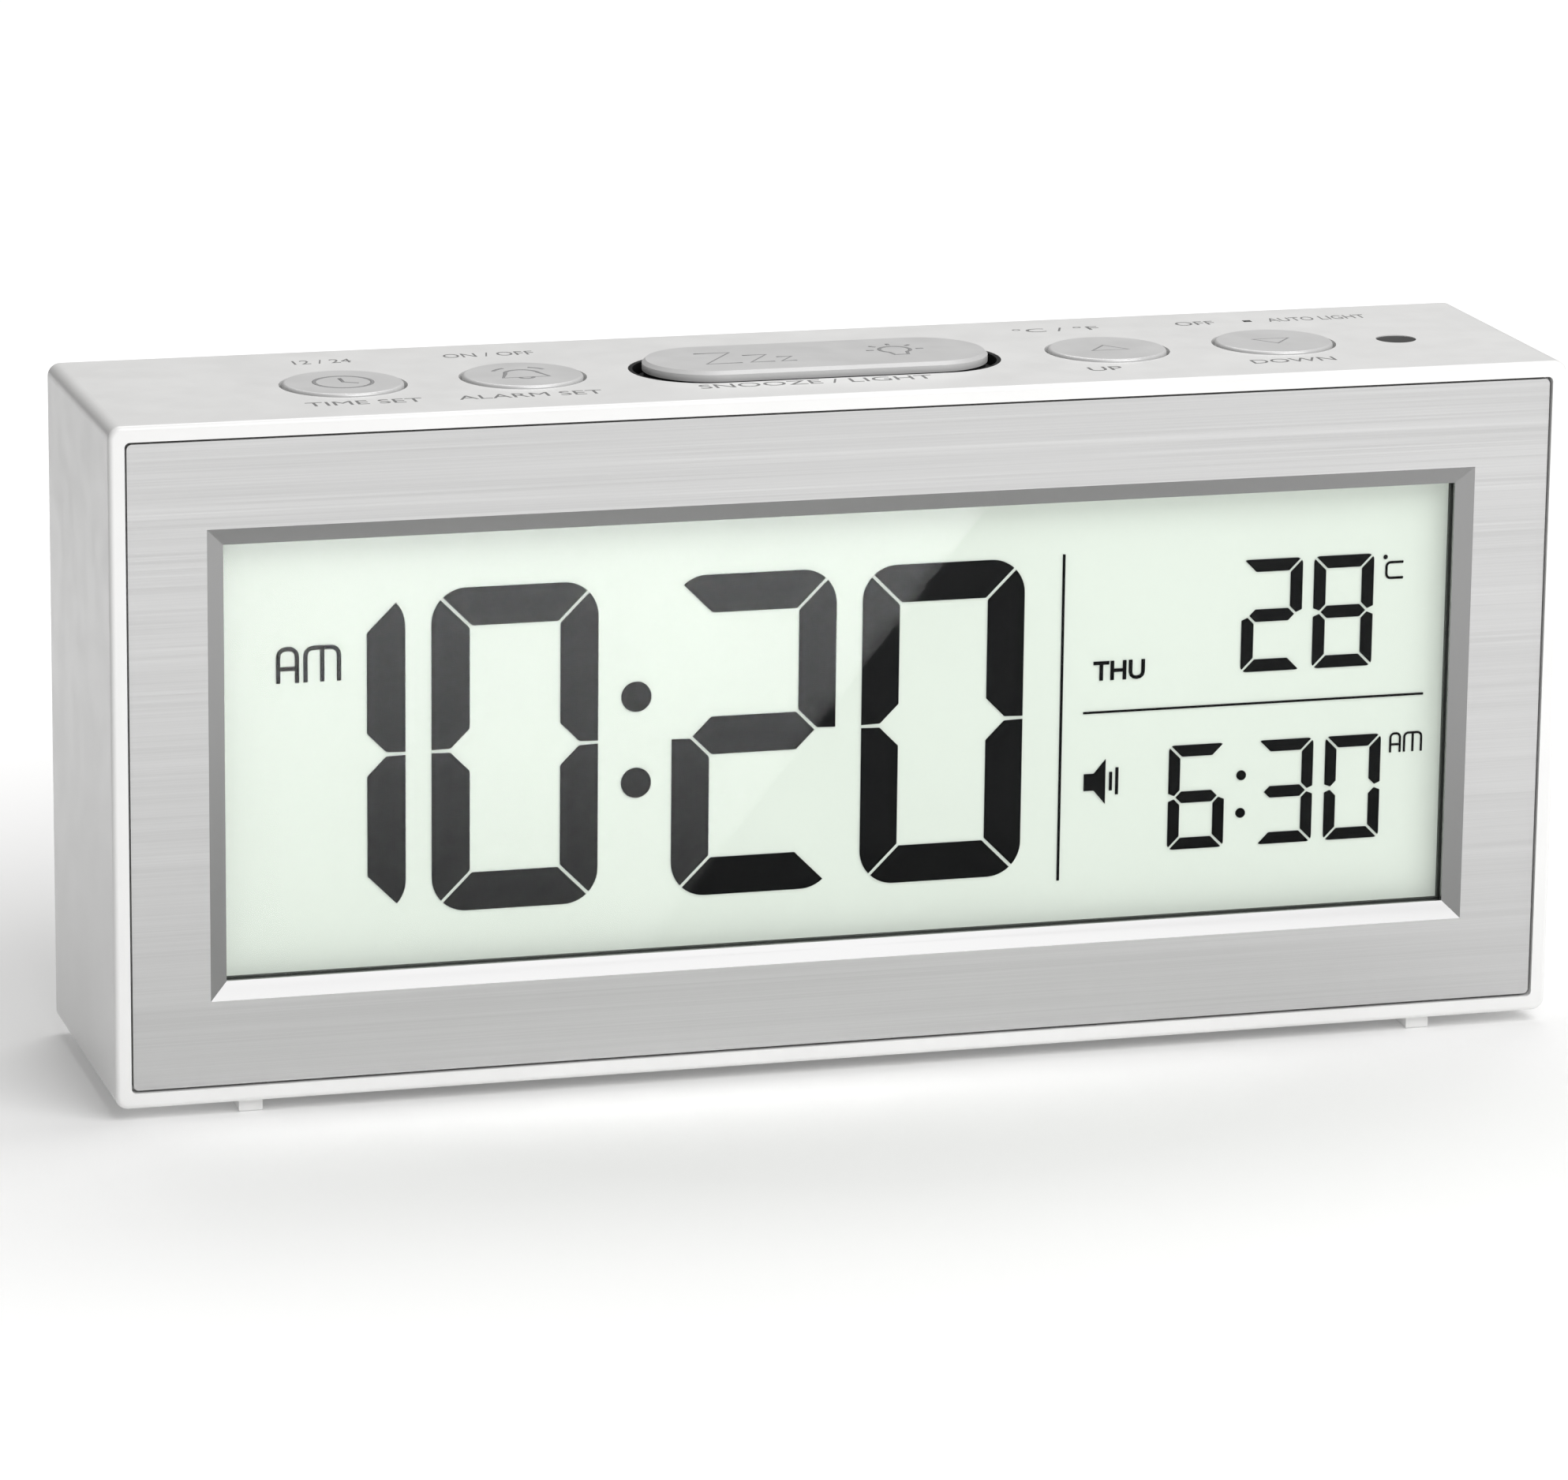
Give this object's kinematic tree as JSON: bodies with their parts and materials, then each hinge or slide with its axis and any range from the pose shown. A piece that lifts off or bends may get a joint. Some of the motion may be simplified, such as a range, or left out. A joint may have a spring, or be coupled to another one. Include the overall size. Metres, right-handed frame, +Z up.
{
  "type": "alarm clock",
  "caption": "Digital alarm clock: white box case, brushed face plate with a wide display window, round keys and a long snooze / light bar on top, battery bay behind.",
  "frame": {"origin": "middle of the clock's footprint, on the surface that its feet stand on", "axes": "+X to the right seen from the front, +Y from the display towards the back, +Z up"},
  "size_m": [0.17, 0.0374, 0.0802],
  "materials": {
    "case_white": "moulded white plastic, satin gloss",
    "cover_white": "moulded white plastic, fine spark texture",
    "foot_rubber": "white rubber strip",
    "brushed_plate": "aluminium sheet brushed along its length",
    "black_gasket": "black foam gasket",
    "clear_lens": "clear acrylic",
    "polarizer_film": "thin polarizing film",
    "display_glass": "display glass",
    "display_seal": "epoxy perimeter seal",
    "display_ink": "dark liquid-crystal bars",
    "reflector_film": "pale green-white reflective film",
    "guide_acrylic": "acrylic light guide",
    "lamp_package": "small moulded lamp package",
    "tray_white": "white moulded tray",
    "zebra_rubber": "layered conductive rubber",
    "board_laminate": "glass-fibre laminate with solder mask",
    "chip_epoxy": "black epoxy",
    "bright_steel": "plated steel",
    "capacitor_sleeve": "shrink sleeve",
    "resistor_ceramic": "chip resistors",
    "header_nylon": "white nylon header",
    "carrier_black": "black moulded plastic",
    "plunger_white": "white switch push rod",
    "key_silver": "silver-grey painted plastic",
    "sensor_smoke": "smoked plastic light window",
    "ribbon_film": "flat flexible ribbon",
    "screw_steel": "plated steel screws",
    "contact_steel": "nickel-plated spring steel",
    "cell_jacket": "plain wrapped alkaline cell",
    "magnet_steel": "ferrite magnet with steel cup",
    "diaphragm_film": "formed film diaphragm",
    "knob_black": "black slider",
    "wire_red": "insulated wire"
  },
  "bodies": {
    "case": {"alarm_segments": "display_ink", "alarm_switch_body": "carrier_black", "backlight_lamps": "lamp_package", "battery_cells": "cell_jacket", "battery_leads": "wire_red", "battery_springs": "contact_steel", "board_screws": "screw_steel", "capacitors": "capacitor_sleeve", "carrier_screws": "screw_steel", "case_shell": "case_white", "clock_chip": "chip_epoxy", "contact_plates": "contact_steel", "cover_screws": "screw_steel", "display_gasket": "black_gasket", "display_seal": "display_seal", "display_tray": "tray_white", "face_plate": "brushed_plate", "field_marks": "display_ink", "foot_strips": "foot_rubber", "front_glass": "display_glass", "front_polarizer": "polarizer_film", "key_board": "board_laminate", "key_carrier": "carrier_black", "key_ribbon": "ribbon_film", "lead_headers": "header_nylon", "light_guide": "guide_acrylic", "light_sensor": "lamp_package", "main_board": "board_laminate", "quartz_crystal": "bright_steel", "rear_cover": "cover_white", "rear_glass": "display_glass", "rear_reflector": "reflector_film", "resistors": "resistor_ceramic", "sensor_window": "sensor_smoke", "slot_liner": "carrier_black", "speaker_basket": "bright_steel", "speaker_diaphragm": "diaphragm_film", "speaker_leads": "wire_red", "speaker_magnet": "magnet_steel", "switch_housings": "carrier_black", "temperature_segments": "display_ink", "thermistor": "chip_epoxy", "time_segments": "display_ink", "window_gasket": "black_gasket", "window_lens": "clear_lens", "zebra_strip": "zebra_rubber"},
    "time_key": {"time_key": "key_silver", "time_plunger": "plunger_white"},
    "alarm_key": {"alarm_key": "key_silver", "alarm_plunger": "plunger_white"},
    "up_key": {"up_key": "key_silver", "up_plunger": "plunger_white"},
    "down_key": {"down_key": "key_silver", "down_plunger": "plunger_white"},
    "snooze_bar": {"snooze_bar": "key_silver", "snooze_frame": "carrier_black", "snooze_plunger": "plunger_white"},
    "battery_door": {"battery_door": "cover_white"},
    "alarm_switch": {"alarm_switch_knob": "knob_black"}
  },
  "joints": [
    {"name": "time_key_press", "type": "slide", "parent": "case", "child": "time_key", "axis": [0, 0, -1], "range_m": [0, 0.0006], "stiffness_N_per_m": 1500},
    {"name": "alarm_key_press", "type": "slide", "parent": "case", "child": "alarm_key", "axis": [0, 0, -1], "range_m": [0, 0.0006], "stiffness_N_per_m": 1500},
    {"name": "snooze_bar_press", "type": "slide", "parent": "case", "child": "snooze_bar", "axis": [0, 0, -1], "range_m": [0, 0.0007], "stiffness_N_per_m": 2200},
    {"name": "up_key_press", "type": "slide", "parent": "case", "child": "up_key", "axis": [0, 0, -1], "range_m": [0, 0.0006], "stiffness_N_per_m": 1500},
    {"name": "down_key_press", "type": "slide", "parent": "case", "child": "down_key", "axis": [0, 0, -1], "range_m": [0, 0.0006], "stiffness_N_per_m": 1500},
    {"name": "battery_door_swing", "type": "hinge", "parent": "case", "child": "battery_door", "pos_m": [0.028, 0.01865, 0.0077], "axis": [-1, 0, 0], "range_deg": [0, 50]},
    {"name": "alarm_switch_slide", "type": "slide", "parent": "case", "child": "alarm_switch", "axis": [1, 0, 0], "range_m": [0, 0.004]}
  ]
}
